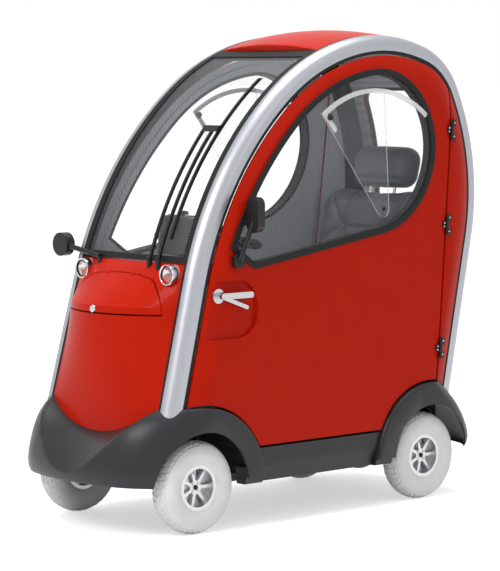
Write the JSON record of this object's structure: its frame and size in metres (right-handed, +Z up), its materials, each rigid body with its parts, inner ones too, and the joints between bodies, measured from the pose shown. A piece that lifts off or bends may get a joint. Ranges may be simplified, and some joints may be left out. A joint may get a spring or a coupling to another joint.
{
  "type": "enclosed mobility scooter",
  "caption": "Enclosed mobility scooter: red cabin of hoops, glass and hinged side doors on a low chassis, with tiller steering, padded seat and small pneumatic wheels.",
  "frame": {"origin": "on the floor, midway between the wheels and between front and rear ends", "axes": "+Z up, -Y towards the front, +X towards the driver's left"},
  "size_m": [0.81, 1.6372, 1.641],
  "materials": {
    "red_paint": "glossy red paint",
    "dark_moulding": "satin dark grey moulding",
    "bright_trim": "satin silver",
    "black_rubber": "matt black rubber",
    "clear_glass": "clear",
    "grey_lining": "ribbed grey lining",
    "chrome": "polished",
    "black_metal": "black paint",
    "black_plastic": "satin black",
    "tyre_grey": "pale grey non-marking rubber",
    "rim_silver": "silver paint",
    "seat_leather": "dark grey grained",
    "lamp_clear": "clear lens",
    "lamp_red": "red lens"
  },
  "bodies": {
    "chassis": {"battery_block": "black_plastic", "body_hinges": "black_metal", "cowl_mirror": "black_plastic", "dash": "dark_moulding", "floor_pan": "black_metal", "front_axle": "black_metal", "front_bumper": "dark_moulding", "front_cowl": "red_paint", "front_lamps": "lamp_clear", "headrest": "seat_leather", "hoop_trims": "bright_trim", "quarter_panels": "red_paint", "rear_bumper": "dark_moulding", "rear_lamps": "lamp_red", "rear_panel": "red_paint", "rear_window": "clear_glass", "rear_window_seal": "black_rubber", "roof_panel": "red_paint", "seat_back": "seat_leather", "seat_cushion": "seat_leather", "seat_pedestal": "dark_moulding", "side_hoops": "black_rubber", "side_sills": "dark_moulding", "tiller_base": "dark_moulding", "transaxle": "black_metal", "windscreen": "clear_glass", "windscreen_frame": "black_rubber", "wiper": "black_metal"},
    "left_door": {"door_glass_left": "clear_glass", "door_handle_left": "chrome", "door_hinges_left": "black_metal", "door_lining_left": "grey_lining", "door_panel_left": "red_paint", "door_vent_left": "clear_glass", "door_window_seal_left": "black_rubber", "door_mirror": "black_plastic"},
    "right_door": {"door_glass_right": "clear_glass", "door_handle_right": "chrome", "door_hinges_right": "black_metal", "door_lining_right": "grey_lining", "door_panel_right": "red_paint", "door_vent_right": "clear_glass", "door_window_seal_right": "black_rubber"},
    "front_lid": {"front_lid": "red_paint"},
    "tiller": {"tiller_column": "black_metal", "tiller_head": "dark_moulding", "handlebar": "black_plastic"},
    "left_knuckle": {"knuckle_left": "black_metal"},
    "right_knuckle": {"knuckle_right": "black_metal"},
    "front_left_wheel": {"tyre_front_left": "tyre_grey", "rim_front_left": "rim_silver"},
    "front_right_wheel": {"tyre_front_right": "tyre_grey", "rim_front_right": "rim_silver"},
    "rear_left_wheel": {"tyre_rear_left": "tyre_grey", "rim_rear_left": "rim_silver"},
    "rear_right_wheel": {"tyre_rear_right": "tyre_grey", "rim_rear_right": "rim_silver"}
  },
  "joints": [
    {"name": "left_door_hinge", "type": "hinge", "parent": "chassis", "child": "left_door", "pos_m": [0.34414, 0.61944, 0.96193], "axis": [-0.0261, 0.0958, 0.9951], "range_deg": [0, 75]},
    {"name": "right_door_hinge", "type": "hinge", "parent": "chassis", "child": "right_door", "pos_m": [-0.34414, 0.61944, 0.96193], "axis": [-0.0261, -0.0958, -0.9951], "range_deg": [0, 75]},
    {"name": "front_lid_hinge", "type": "hinge", "parent": "chassis", "child": "front_lid", "pos_m": [0, -0.5755, 0.8335], "axis": [-1, 0, 0], "range_deg": [0, 55]},
    {"name": "tiller_steer", "type": "hinge", "parent": "chassis", "child": "tiller", "pos_m": [0, -0.42, 0.172], "axis": [0, 0.165, 0.9863], "range_deg": [-40, 40]},
    {"name": "left_knuckle_steer", "type": "hinge", "parent": "chassis", "child": "left_knuckle", "pos_m": [0.236, -0.525, 0.1525], "axis": [0, 0, 1], "range_deg": [-30, 30]},
    {"name": "right_knuckle_steer", "type": "hinge", "parent": "chassis", "child": "right_knuckle", "pos_m": [-0.236, -0.525, 0.1525], "axis": [0, 0, 1], "range_deg": [-30, 30]},
    {"name": "front_left_wheel_spin", "type": "hinge", "parent": "left_knuckle", "child": "front_left_wheel", "pos_m": [0.296, -0.525, 0.1525], "axis": [1, 0, 0], "continuous": true},
    {"name": "front_right_wheel_spin", "type": "hinge", "parent": "right_knuckle", "child": "front_right_wheel", "pos_m": [-0.296, -0.525, 0.1525], "axis": [1, 0, 0], "continuous": true},
    {"name": "rear_left_wheel_spin", "type": "hinge", "parent": "chassis", "child": "rear_left_wheel", "pos_m": [0.296, 0.525, 0.1525], "axis": [1, 0, 0], "continuous": true},
    {"name": "rear_right_wheel_spin", "type": "hinge", "parent": "chassis", "child": "rear_right_wheel", "pos_m": [-0.296, 0.525, 0.1525], "axis": [1, 0, 0], "continuous": true}
  ],
  "couplings": [
    {"joint": "left_knuckle_steer", "follows": "tiller_steer", "ratio": 0.75},
    {"joint": "right_knuckle_steer", "follows": "tiller_steer", "ratio": 0.75}
  ]
}
